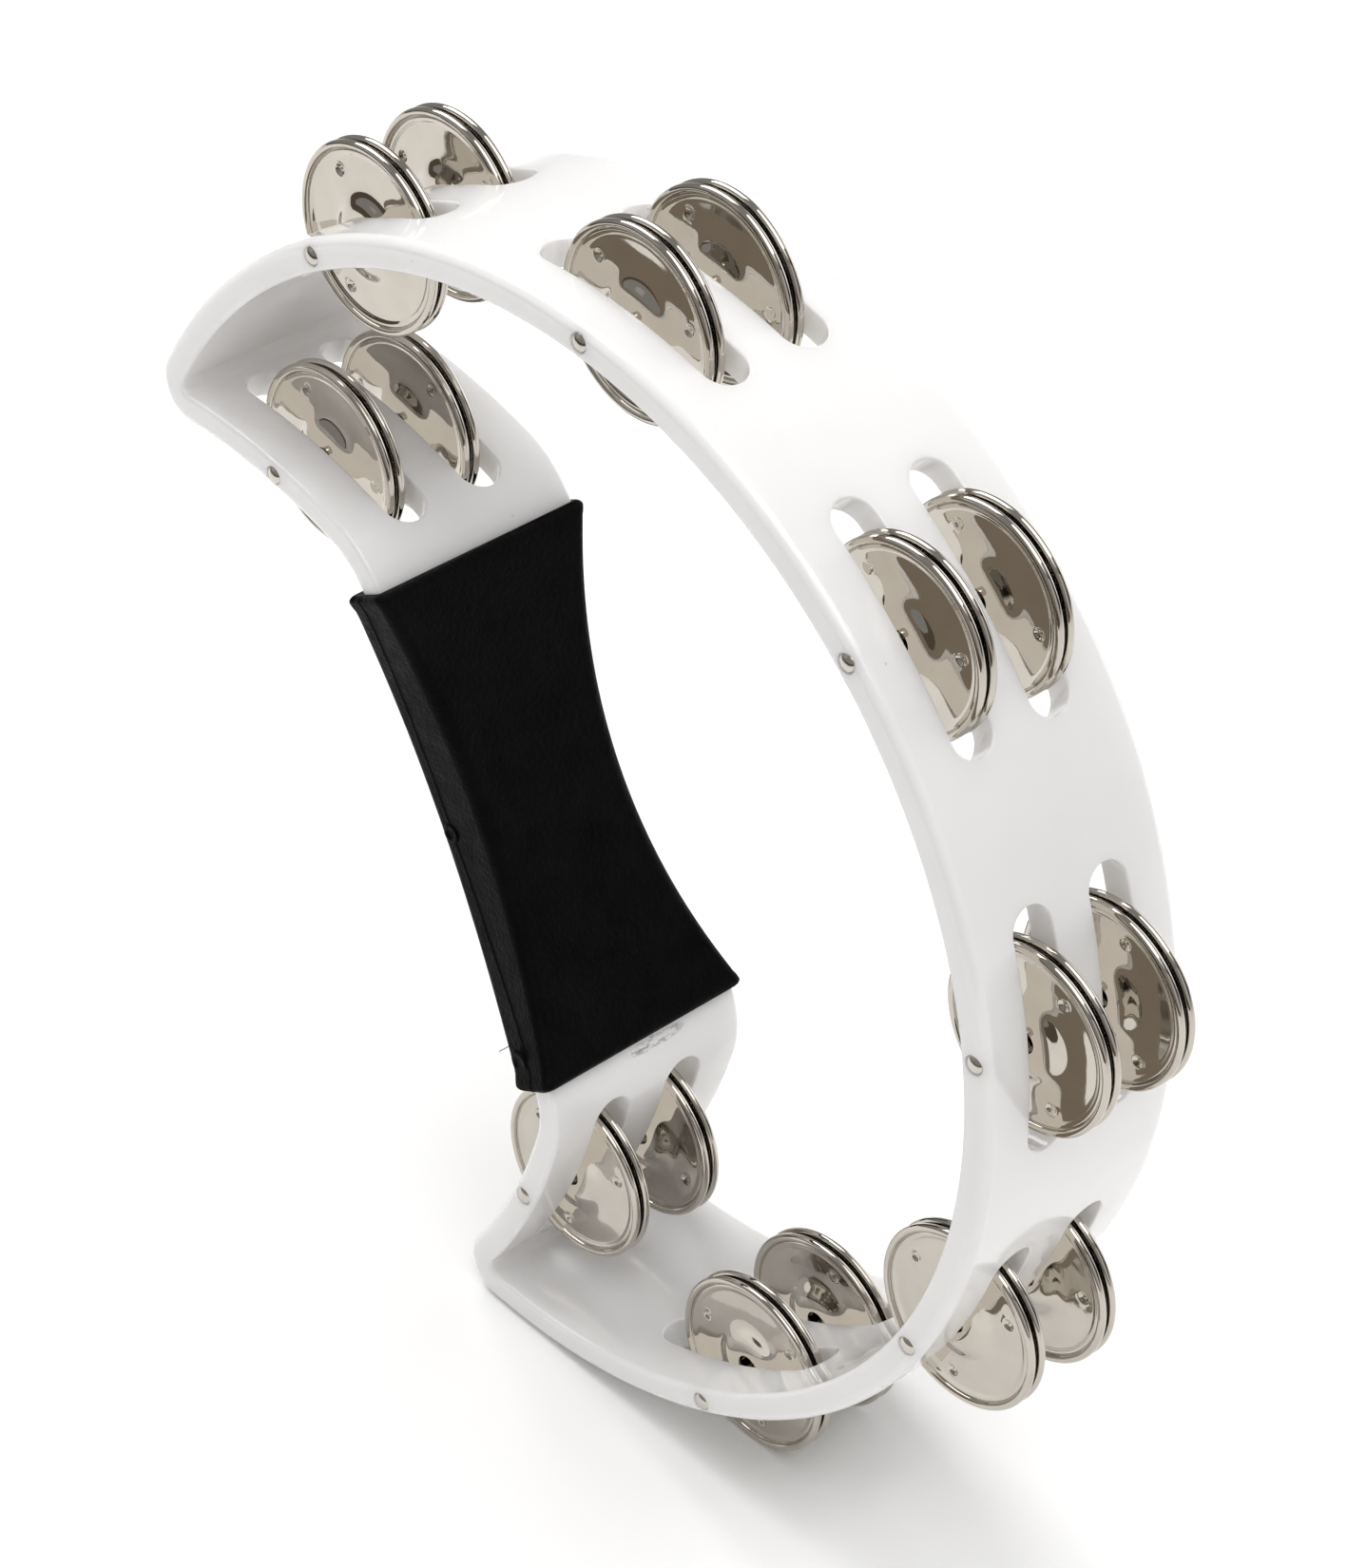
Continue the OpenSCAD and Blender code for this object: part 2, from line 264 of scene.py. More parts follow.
def triangles(points, loops, inside):
    """Delaunay triangles of 2-D points, held to closed loops; inside(centres) says which are in a hole."""
    edges = []
    for first, count in loops:
        edges += [(first + i, first + (i + 1) % count) for i in range(count)]
    out = delaunay_2d_cdt([Vector((float(a), float(b))) for a, b in points], edges, [], 0, 1e-5)
    xy = np.array([(v.x, v.y) for v in out[0]])
    tris = np.array([f for f in out[2] if len(f) == 3])
    centres = xy[tris].mean(1)
    e1, e2 = xy[tris[:, 1]] - xy[tris[:, 0]], xy[tris[:, 2]] - xy[tris[:, 0]]
    area = e1[:, 0] * e2[:, 1] - e1[:, 1] * e2[:, 0]
    tris = np.where((area < 0)[:, None], tris[:, ::-1], tris)
    keep = ~inside(centres) & (np.abs(area) > 1e-6)
    return xy, tris[keep]


def stadium(n_arc=18, n_side=17):
    """Points (y, z) and outward normals of a slot's outline."""
    e, r = (SLOT_LEN - SLOT_W) / 2, SLOT_W / 2
    pts, nrm = [], []
    for side in (-1, 1):
        for i in range(n_side):
            pts.append((side * (e - 2 * e * i / n_side), side * r))
            nrm.append((0, side))
        for i in range(n_arc):
            t = side * pi / 2 + pi * i / n_arc
            pts.append((-side * e + r * cos(t), r * sin(t)))
            nrm.append((cos(t), sin(t)))
    return np.array(pts), np.array(nrm)


SLOT_PTS, SLOT_NRM = stadium()
SLOT_ROWS = (-ROW_PITCH / 2, ROW_PITCH / 2)


class Place:
    """A jingle place: its frame of reference, and the top rows of its slots' walls."""

    def __init__(self, p):
        self.s0 = s_of_place(p)
        pos, nrm = on_line(self.s0, 0)
        self.q, self.out = pos[0], nrm[0]
        self.along = np.array([-self.out[1], self.out[0]])
        # on each face of the band: arc lengths, and how far along the slot they are
        self.table = {}
        for x in (-W, W):
            s = self.s0 + np.linspace(-REACH, REACH, 1361)
            pts, _ = on_line(s, x)
            self.table[x] = (s, (pts - self.q) @ self.along)
        # by face and row: points and normals where a wall meets its rounded edge
        self.walls = {}

    def s_at(self, y, x):
        s, ys = self.table[x]
        return np.interp(y, ys, s)


PLACES = [Place(p) for p in range(1, 9)]


def surface(s, zn, x, sign):
    """Points and normals of the outer or inner face; zn is the height for a band of full width."""
    pos, out = on_line(s, x)
    z = zn * half_width(s) / H
    return np.column_stack([pos, z]), np.column_stack([out * sign, np.zeros(len(pos))])


def in_slot(points, x, grow):
    """Which (s, z) points of the face at x are in a slot that is grown on all sides."""
    inside = np.zeros(len(points), bool)
    for place in PLACES:
        near = np.flatnonzero(np.abs(points[:, 0] - place.s0) < REACH)
        y = np.interp(points[near, 0], *place.table[x])
        past_straight = np.maximum(np.abs(y) - (SLOT_LEN - SLOT_W) / 2, 0)
        for zc in SLOT_ROWS:
            inside[near] |= np.hypot(past_straight, points[near, 1] - zc) < SLOT_W / 2 + grow
    return inside


def rounded_edge(patches, first, corner, last, first_normals, last_normals, rows):
    """A closed band from first to last that bends round the sharp corner between them."""
    points, normals = [], []
    for t in np.linspace(0, 1, rows):
        points.append((1 - t) ** 2 * first + 2 * t * (1 - t) * corner + t * t * last)
        normals.append((1 - t) * first_normals + t * last_normals)
    patches.strip(points, normals, closed_rows=True)


def face_patch(patches, x, z_edge, rows):
    """One of the band's two faces with its sixteen slot mouths, whose edges are rounded."""
    sign = 1 if x > 0 else -1
    slots = [(place, zc) for place in PLACES for zc in SLOT_ROWS]
    grid = np.array([(s, z) for s in s_rows for z in np.linspace(-z_edge, z_edge, rows)])
    grid = grid[~in_slot(grid, x, SLOT_EDGE + 0.7)]
    mouth = SLOT_PTS + SLOT_EDGE * SLOT_NRM
    points, loops, count = [grid], [], len(grid)
    for place, zc in slots:
        points.append(np.column_stack([place.s_at(mouth[:, 0], x), mouth[:, 1] + zc]))
        loops.append((count, len(mouth)))
        count += len(mouth)
    xy, tris = triangles(np.concatenate(points), loops, lambda c: in_slot(c, x, SLOT_EDGE - 0.02))
    patches.add(*surface(xy[:, 0], xy[:, 1], x, sign), tris)
    for place, zc in slots:
        to_wall = -sign * np.append(place.out, 0.0)
        edge, edge_normals = surface(place.s_at(mouth[:, 0], x), mouth[:, 1] + zc, x, sign)
        corner, _ = surface(place.s_at(SLOT_PTS[:, 0], x), SLOT_PTS[:, 1] + zc, x, sign)
        wall = corner + to_wall * SLOT_EDGE
        wall_normals = -np.column_stack([SLOT_NRM[:, :1] * place.along, SLOT_NRM[:, 1]])
        rounded_edge(patches, edge, corner, wall, edge_normals, wall_normals, 5)
        place.walls[x, zc] = (wall, wall_normals)


def slot_walls(patches):
    """The sixteen slots' walls, from the outer rounded edge to the inner one."""
    for place in PLACES:
        for zc in SLOT_ROWS:
            outer, normals = place.walls[W, zc]
            inner, _ = place.walls[-W, zc]
            patches.strip([outer * (1 - t) + inner * t for t in (0, 0.5, 1)], [normals] * 3, closed_rows=True)


# A rim's section is rows of: distance outward, drop under the rim's top, normal (outward, sideways).
ROUND_X = W - RIM_OUT


def inner_rounding():
    return [(-W + RIM_IN - RIM_IN * cos(t), RIM_IN - RIM_IN * sin(t), -cos(t), sin(t))
            for t in np.linspace(0, pi / 2, 6)]


def outer_rounding(first, last):
    """A stretch of the outer rounding between two angles in degrees."""
    return [(ROUND_X + RIM_OUT * sin(t), RIM_OUT - RIM_OUT * cos(t), sin(t), cos(t))
            for t in np.radians(np.linspace(first, last, 5))]


def top_row(x):
    """The row of a rim's section at x, from the flat top outward; x may be an array."""
    over = np.clip(x - ROUND_X, 0, RIM_OUT)
    nx = over / RIM_OUT
    return x, RIM_OUT - np.sqrt(RIM_OUT ** 2 - over ** 2), nx, np.sqrt(1 - nx ** 2)


def rim_points(s, side, x, under, nx, nz):
    """Points and normals of the near (side 1) or far (side -1) rim."""
    pos, out = on_line(s, x)
    return (np.column_stack([pos, side * (half_width(s) - under)]),
            np.column_stack([out * np.reshape(nx, (-1, 1)), side * np.broadcast_to(nz, len(pos))]))


def rim_strip(patches, side, section):
    rows = [rim_points(s_rows, side, *row) for row in section]
    patches.strip([row[0] for row in rows], [row[1] for row in rows])


def near_top(patches, xs):
    """The near rim's top at the distances xs, with a seat round each pin."""
    steps = 30
    mouth_r = SEAT_D / 2 + SEAT_EDGE
    t = np.arange(steps) * 2 * pi / steps

    def in_seat(points, grow):
        inside = np.zeros(len(points), bool)
        for place in PLACES:
            inside |= np.hypot(points[:, 0] - place.s0, points[:, 1]) < mouth_r + grow
        return inside

    grid = np.array([(s, x) for s in s_rows for x in xs])
    on_border = (grid[:, 1] < xs[0] + 1e-6) | (grid[:, 1] > xs[-1] - 1e-6)
    grid = grid[on_border | ~in_seat(grid, 0.22)]
    points, loops, count = [grid], [], len(grid)
    for place in PLACES:
        points.append(np.column_stack([place.s0 + mouth_r * np.cos(t), mouth_r * np.sin(t)]))
        loops.append((count, steps))
        count += steps
    xy, tris = triangles(np.concatenate(points), loops, lambda c: in_seat(c, -0.03))
    patches.add(*rim_points(xy[:, 0], 1, *top_row(xy[:, 1])), tris)
    for place in PLACES:
        pin_seat(patches, place, mouth_r, t)


def pin_seat(patches, place, mouth_r, t):
    """A pin's seat: rounded mouth, wall, floor, and the start of the hole with a closed end."""
    def ring(r, z=None):
        points, normals = rim_points(place.s0 + r * np.cos(t), 1, *top_row(r * np.sin(t)))
        if z is not None:
            points[:, 2] = z
        return points, normals

    floor_z = H - SEAT_H
    mouth, mouth_normals = ring(mouth_r)
    corner, _ = ring(SEAT_D / 2)
    wall = corner - [0, 0, SEAT_EDGE]
    centre = np.append(place.q, 0)
    inward = (centre - wall) * [1, 1, 0]
    inward /= np.linalg.norm(inward, axis=1)[:, None]
    rounded_edge(patches, mouth, corner, wall, mouth_normals, inward, 4)
    foot, _ = ring(SEAT_D / 2, floor_z)
    hole, _ = ring(PIN_D / 2, floor_z)
    hole_end, _ = ring(PIN_D / 2, floor_z - HOLE_START)
    up = np.tile([0.0, 0.0, 1.0], (len(t) + 1, 1))
    patches.strip([wall, foot], [inward, inward], closed_rows=True)
    patches.strip([foot, hole], [up[:-1], up[:-1]], closed_rows=True)
    patches.strip([hole, hole_end], [inward, inward], closed_rows=True)
    patches.add(np.vstack([hole_end, [*place.q, floor_z - HOLE_START]]), up,
                [(i, (i + 1) % len(t), len(t)) for i in range(len(t))])


def build_frame():
    """The moulded crescent: two faces with slots, rounded rims with pin seats."""
    patches = Patches()
    face_patch(patches, W, H - RIM_OUT, 17)
    face_patch(patches, -W, H - RIM_IN, 18)
    slot_walls(patches)
    top_xs = [-W + RIM_IN, -1.2, 0.0] + [row[0] for row in outer_rounding(0, RIM_SPLIT)]
    for side in (1, -1):
        rim_strip(patches, side, inner_rounding())
        rim_strip(patches, side, outer_rounding(RIM_SPLIT, 90))
    near_top(patches, top_xs)
    rim_strip(patches, -1, [top_row(x) for x in top_xs])
    return patches.build("frame_moulding")


# ---------------------------------------------------------------- grip
GRIP_HALF = GRIP_LEN / 2
# how far the parting line runs from the middle of the grip's side towards the palm, along the grip
SEAM_V = (-53, -44.6, -25, -1.2, 22, 43.7, 53)
SEAM_SHIFT = (-0.3, -0.2, 2.2, 3.7, 3.2, 1.7, 1.2)
# section of a side across the parting line: distance from the line, height, lean of the normal
SEAM_RIDGE = ((-9, 0, 0), (-0.5, 0, 0), (-0.26, -0.02, 0.1), (-0.12, 0.14, 0.5), (0, 0.2, 0),
              (0.12, 0.14, -0.5), (0.26, -0.02, -0.1), (0.5, 0, 0), (9, 0, 0))
# section of a moulded knob: share of its radius, share of its height, normal (outward, up)
KNOB = ((1.0, -0.2, 1, 0), (1.0, 0.55, 1, 0.2), (0.93, 0.9, 0.6, 0.8), (0.8, 1.0, 0.1, 1),
        (0.6, 0.9, -0.4, 0.9), (0.42, 0.45, -0.7, 0.7), (0.2, 0.3, 0, 1), (0.02, 0.3, 0, 1))


def handle_u(v):
    """Where the centre line of the handle and its bends is at v."""
    v = abs(v)
    if v < BEND_H + BEND_R * sin(radians(bend_a0)):
        return handle_c[0] - sqrt(HANDLE_R ** 2 - v * v)
    return bend_c[0] + sqrt(BEND_R ** 2 - (v - BEND_H) ** 2)


def side_run(p0, p1, n, v, way):
    """A side of the grip's section from p0 to p1, with the parting line; way says where the palm is."""
    span = np.linalg.norm(p1 - p0)
    d = (p1 - p0) / span
    seam = np.interp(v, SEAM_V, SEAM_SHIFT) + 0.06 * sin(v * 1.9)
    middle = span / 2 + way * min(max(seam, -span / 2 + 0.6), span / 2 - 0.6)
    points, normals = [], []
    for x, lift, tilt in SEAM_RIDGE:
        x = min(max(middle + x, 0.03 * span), 0.97 * span)
        points.append(p0 + d * x + n * lift)
        normals.append((n - d * tilt) / np.linalg.norm(n - d * tilt))
    return points, normals


def grip_section(v):
    """The grip's outline at v: points, and their normals (outward, sideways)."""
    swell = 1 - (v / GRIP_HALF) ** 2
    edge = GRIP_HALF - abs(v)
    inset = GRIP_EDGE - sqrt(GRIP_EDGE ** 2 - (GRIP_EDGE - min(edge, GRIP_EDGE)) ** 2)
    lip = 0.22 * np.exp(-((edge - 1.6) / 1.1) ** 2)
    a = W + GRIP_T + (GRIP_SWELL - GRIP_T) * swell + GRIP_BACK / 2 - inset + lip
    b = H + GRIP_T - WAIST * swell - inset + lip
    rc = min(CORNER_END + (CORNER_MID - CORNER_END) * swell, a - 0.3)
    centres = [np.array([su * (a - rc), sz * (b - rc)]) for su, sz in ((1, 1), (-1, 1), (-1, -1), (1, -1))]
    points, normals = [], []
    for q, centre in enumerate(centres):
        for i in range(13):
            n = unit(90 * q + 90 * i / 12)
            points.append(centre + rc * n)
            normals.append(n)
        p0, p1 = centre + rc * n, centres[(q + 1) % 4] + rc * n
        if q in (0, 2):
            run = side_run(p0, p1, n, v, 1 - q)
        else:
            run = [p0 + (p1 - p0) * i / 12 for i in range(1, 12)], [n] * 11
        points += run[0]
        normals += run[1]
    points, normals = np.array(points), np.array(normals)
    u = handle_u(v) - GRIP_BACK / 2
    return np.column_stack([points[:, 0] + u, np.full(len(points), v), points[:, 1]]), normals


def knob(patches, u, v, r, height, stretch=1.0):
    """A round mark on the grip's near side, longer along the grip by stretch."""
    side_z = H + GRIP_T - WAIST * (1 - (v / GRIP_HALF) ** 2)
    t = np.arange(28) * 2 * pi / 28
    rows, normals = [], []
    for share, rise, n_out, n_up in KNOB:
        rows.append(np.column_stack([u + r * share * np.cos(t), v + r * share * stretch * np.sin(t),
                                     np.full(len(t), side_z + height * rise)]))
        normals.append(np.column_stack([n_out * np.cos(t), n_out * np.sin(t), np.full(len(t), n_up + 1e-3)]))
    patches.strip(rows, normals, closed_rows=True)


def flash_thread(patches):
    """The thread of flash that stands off the half-round mark."""
    root_z = H + GRIP_T - WAIST * (1 - (44.6 / GRIP_HALF) ** 2) - 0.3
    path = np.array([(-29.6, -44.6, root_z), (-30.3, -44.9, 26.0),
                     (-30.9, -45.0, 26.3), (-31.5, -45.4, 26.2)])
    t = np.arange(8) * 2 * pi / 8
    around = np.column_stack([np.zeros(8), np.cos(t), np.sin(t)])
    patches.strip([p + 0.09 * around for p in path], [around] * len(path), closed_rows=True)


def build_grip():
    """The sleeve: sections along the handle, end faces down to the frame, and the marks of its moulding."""
    patches = Patches()
    ends = [0, 0.12, 0.4, 0.8, GRIP_EDGE]
    vs = [-GRIP_HALF + e for e in ends] + list(np.linspace(-GRIP_HALF + 2.2, GRIP_HALF - 2.2, 87))
    vs += [GRIP_HALF - e for e in reversed(ends)]
    sections = [grip_section(v) for v in vs]
    rows = [section[0] for section in sections]
    # the sections' normals, leaned by the change along v
    normals = []
    for j, v in enumerate(vs):
        along = rows[min(j + 1, len(vs) - 1)] - rows[max(j - 1, 0)]
        along /= np.linalg.norm(along, axis=1)[:, None]
        flat = sections[j][1]
        n = np.column_stack([flat[:, 0], np.zeros(len(flat)), flat[:, 1]])
        n = n - along * np.sum(n * along, axis=1)[:, None]
        if j in (0, len(vs) - 1):
            n = n + np.array([0, 4 * np.sign(v), 0])
        normals.append(n)
    patches.strip(rows, normals, closed_rows=True)
    for edge, v, sign in ((rows[0], vs[0], -1), (rows[-1], vs[-1], 1)):
        u = handle_u(v)
        inner = np.column_stack([u + np.clip(edge[:, 0] - u, 0.5 - W, W - 0.5),
                                 np.full(len(edge), v - sign * 0.05), np.clip(edge[:, 2], 0.5 - H, H - 0.5)])
        under_grip = inner - np.array([0, sign * 2.5, 0])
        n = np.tile([0, sign * 1.0, 0], (len(edge), 1))
        patches.strip([edge, inner, under_grip], [n, n, n], closed_rows=True)
    knob(patches, -34.0, -0.6, 2.1, 0.42)
    knob(patches, -26.6, -48.2, 2.3, 0.3, 1.5)
    flash_thread(patches)
    return patches.build("grip_sleeve", merge=0.002)


# ---------------------------------------------------------------- jingles and pins
def smooth_profile(points, steps=5):
    """Catmull-Rom through (r, z) points."""
    pts = [np.array(points[0])] + [np.array(p) for p in points] + [np.array(points[-1])]
    out = []
    for i in range(1, len(pts) - 2):
        for k in range(steps):
            t = k / steps
            p0, p1, p2, p3 = pts[i - 1:i + 3]
            out.append(0.5 * ((2 * p1) + (p2 - p0) * t + (2 * p0 - 5 * p1 + 4 * p2 - p3) * t * t
                              + (3 * p1 - p0 - 3 * p2 + p3) * t ** 3))
    out.append(np.array(points[-1]))
    return out


BEAD_Z = (PAIR_GAP + BEAD_D) / 2
R_J, BR = JINGLE_D / 2, BEAD_D / 2
DIMPLE_R, DIMPLE_W, DIMPLE_DEPTH = 14.1, 1.42, 0.55
UNDERSIDE = 0.42      # depth of a dimple on the inner face, as a share; more would touch the jingle's partner
FACE_END = 17.9       # outward from here the profile is the rolled edge
DIMPLES = [radians(a) for a in (90, 210, 330)]


def jingle_profile():
    """(r, z) from the hole's edge on the outer face, over the bead, back to the hole on the inner face."""
    face = smooth_profile([(2.5, 2.6), (2.54, 2.78), (2.75, 2.87), (3.6, 2.9), (4.5, 2.89), (5.3, 2.83),
                           (6.1, 2.69), (6.9, 2.44), (7.6, 2.13), (8.3, 1.81), (9.0, 1.56), (9.8, 1.4),
                           (10.8, 1.33), (12.6, 1.31), (14.2, 1.28), (15.6, 1.22), (16.2, 1.2), (16.6, 1.22),
                           (17.0, 1.36), (17.35, 1.47), (17.7, 1.5), (17.95, 1.38), (18.1, 1.22)], 4)
    # the rolled edge: from its inner shoulder over the top to the underside
    bead = [(R_J - BR + BR * cos(t), BEAD_Z + BR * sin(t)) for t in np.radians(np.linspace(168, -150, 24))]
    back = smooth_profile([(FACE_END, 0.95), (17.0, 0.72), (16.2, 0.6), (14.0, 0.7), (11.0, 0.72),
                           (9.8, 0.82), (9.0, 1.0), (8.3, 1.26), (7.6, 1.58), (6.9, 1.88), (6.1, 2.12),
                           (5.2, 2.25), (4.0, 2.3), (2.6, 2.34), (2.5, 2.45)], 3)
    return [tuple(p) for p in face] + bead + [tuple(p) for p in back]


def jingle_mesh():
    """One jingle about the local z axis, its outer face towards +z, middle of the pair at z 0; in metres."""
    prof = np.array(jingle_profile())
    # finer steps of angle at the dimples
    angles = []
    for d in DIMPLES:
        angles += list(d + np.radians(np.linspace(-7, 7, 19)))
        angles += list(d + np.radians(np.linspace(7, 113, 30)[1:-1]))
    angles = np.sort(angles)
    # finer steps of radius at the dimples on the outer face
    outer_end = int(np.argmax(prof[:, 0] > FACE_END))
    rows, front = [], []
    for i, (point, after) in enumerate(zip(prof, prof[1:])):
        at_dimples = i < outer_end and 12.4 < point[0] < 15.7
        for t in (0, 1 / 3, 2 / 3) if at_dimples else (0,):
            rows.append(point + (after - point) * t)
            front.append(i < outer_end)
    rows.append(prof[-1])
    front.append(False)
    rr, zz = np.array(rows).T
    front = np.array(front)
    n, m = len(angles), len(rr)
    R, A = np.meshgrid(rr, angles, indexing="ij")
    Z = np.repeat(zz[:, None], n, 1)
    X, Y = R * np.cos(A), R * np.sin(A)
    for d in DIMPLES:
        dist = np.hypot(X - DIMPLE_R * cos(d), Y - DIMPLE_R * sin(d))
        x = np.clip((dist - 0.35) / (DIMPLE_W - 0.35), 0, 1)
        pit = -DIMPLE_DEPTH * (1 - x * x * (3 - 2 * x))
        pip = 0.24 * np.exp(-(dist / 0.36) ** 2)
        ring = 0.06 * np.exp(-((dist - DIMPLE_W) / 0.24) ** 2)
        Z += np.where(front[:, None], pit + pip + ring, 0)
        Z += np.where(~front[:, None] & (R < 17), pit * UNDERSIDE, 0)
    verts = np.stack([X, Y, Z], -1).reshape(-1, 3)
    faces = [(j * n + i, (j + 1) * n + i, (j + 1) * n + (i + 1) % n, j * n + (i + 1) % n)
             for j in range(m - 1) for i in range(n)]
    faces += [((m - 1) * n + i, i, (i + 1) % n, (m - 1) * n + (i + 1) % n) for i in range(n)]
    mesh = bpy.data.meshes.new("jingle")
    mesh.from_pydata((verts * MM).tolist(), [], faces)
    mesh.shade_smooth()
    return mesh


def pin_mesh():
    """A pin along z, its head at the top; z 0 is the middle of the band; in metres."""
    top, low, shaft = H - SEAT_H, -H + PIN_STOP + 0.02, PIN_D / 2 - 0.002
    cap_r = ((HEAD_D / 2) ** 2 + HEAD_H ** 2) / (2 * HEAD_H)
    head_r = HEAD_D / 2 + 0.12
    prof = [(0.0, low), (0.55, low), (0.88, low + 0.33), (shaft, 0.0), (shaft, top - 0.25), (1.0, top),
            (head_r - 0.06, top), (head_r, top + 0.08)]
    wider = head_r / (HEAD_D / 2)
    for t in np.linspace(np.arcsin((HEAD_D / 2) / cap_r), 0, 12):
        prof.append((cap_r * sin(t) * wider, top + HEAD_H - cap_r + cap_r * cos(t) + 0.12 * sin(t)))
    n = 40
    t = np.arange(n) * 2 * pi / n
    verts, faces = [], []
    for r, z in prof:
        verts += [(r * cos(a), r * sin(a), z) for a in t]
    for j in range(len(prof) - 1):
        faces += [(j * n + i, j * n + (i + 1) % n, (j + 1) * n + (i + 1) % n, (j + 1) * n + i)
                  for i in range(n)]
    mesh = bpy.data.meshes.new("pin")
    bm = bmesh.new()
    vs = [bm.verts.new(np.array(v) * MM) for v in verts]
    for f in faces:
        bm.faces.new([vs[i] for i in f])
    bmesh.ops.remove_doubles(bm, verts=bm.verts, dist=1e-7)
    bmesh.ops.recalc_face_normals(bm, faces=bm.faces)
    bm.to_mesh(mesh)
    bm.free()
    mesh.shade_smooth()
    return mesh


# ---------------------------------------------------------------- materials
def new_material(name):
    m = bpy.data.materials.new(name)
    m.use_nodes = True
    nt = m.node_tree
    bsdf = nt.nodes["Principled BSDF"]
    return m, nt, bsdf


def node(nt, kind, **values):
    n = nt.nodes.new(kind)
    for k, v in values.items():
        setattr(n, k, v)
    return n


def coords(nt, scale=(1, 1, 1)):
    t = node(nt, "ShaderNodeTexCoord")
    m = node(nt, "ShaderNodeMapping")
    m.inputs["Scale"].default_value = scale
    nt.links.new(t.outputs["Object"], m.inputs["Vector"])
    return m.outputs["Vector"]


def noise(nt, vec, scale, detail=3, rough=0.5):
    n = node(nt, "ShaderNodeTexNoise")
    n.inputs["Scale"].default_value = scale
    n.inputs["Detail"].default_value = detail
    n.inputs["Roughness"].default_value = rough
    nt.links.new(vec, n.inputs["Vector"])
    return n.outputs["Fac"]


def ramp(nt, fac, stops):
    """Colours by fac; a stop is its position and a colour of three channels, or of one for grey."""
    r = node(nt, "ShaderNodeValToRGB")
    el = r.color_ramp.elements
    while len(el) < len(stops):
        el.new(0.5)
    for e, (p, c) in zip(el, stops):
        e.position = p
        e.color = (*c, 1) if len(c) == 3 else (c[0], c[0], c[0], 1)
    nt.links.new(fac, r.inputs["Fac"])
    return r.outputs["Color"]


def bump(nt, fac, strength, distance, after=None):
    b = node(nt, "ShaderNodeBump")
    b.inputs["Strength"].default_value = strength
    b.inputs["Distance"].default_value = distance
    nt.links.new(fac, b.inputs["Height"])
    if after is not None:
        nt.links.new(after, b.inputs["Normal"])
    return b.outputs["Normal"]


def speckled(nt, vec, colour, density, size, depth, strength):
    """The colour with small darker specks."""
    cells = node(nt, "ShaderNodeTexVoronoi")
    cells.inputs["Scale"].default_value = density
    nt.links.new(vec, cells.inputs["Vector"])
    speck = ramp(nt, cells.outputs["Distance"], [(0.0, (depth,)), (size, (1,))])
    mix = node(nt, "ShaderNodeMixRGB", blend_type="MULTIPLY")
    mix.inputs["Fac"].default_value = strength
    nt.links.new(colour, mix.inputs[1])
    nt.links.new(speck, mix.inputs[2])
    return mix.outputs[0]


def scuff_centre():
    """World place of the scuffs: on the inner face, just under the grip's lower end."""
    at, _ = on_line(np.linspace(starts[0], starts[2], 2000), -W)
    u, v = at[np.argmin(np.abs(at[:, 1] + 55.6))]
    return world([[u, v, -3.0]])[0]


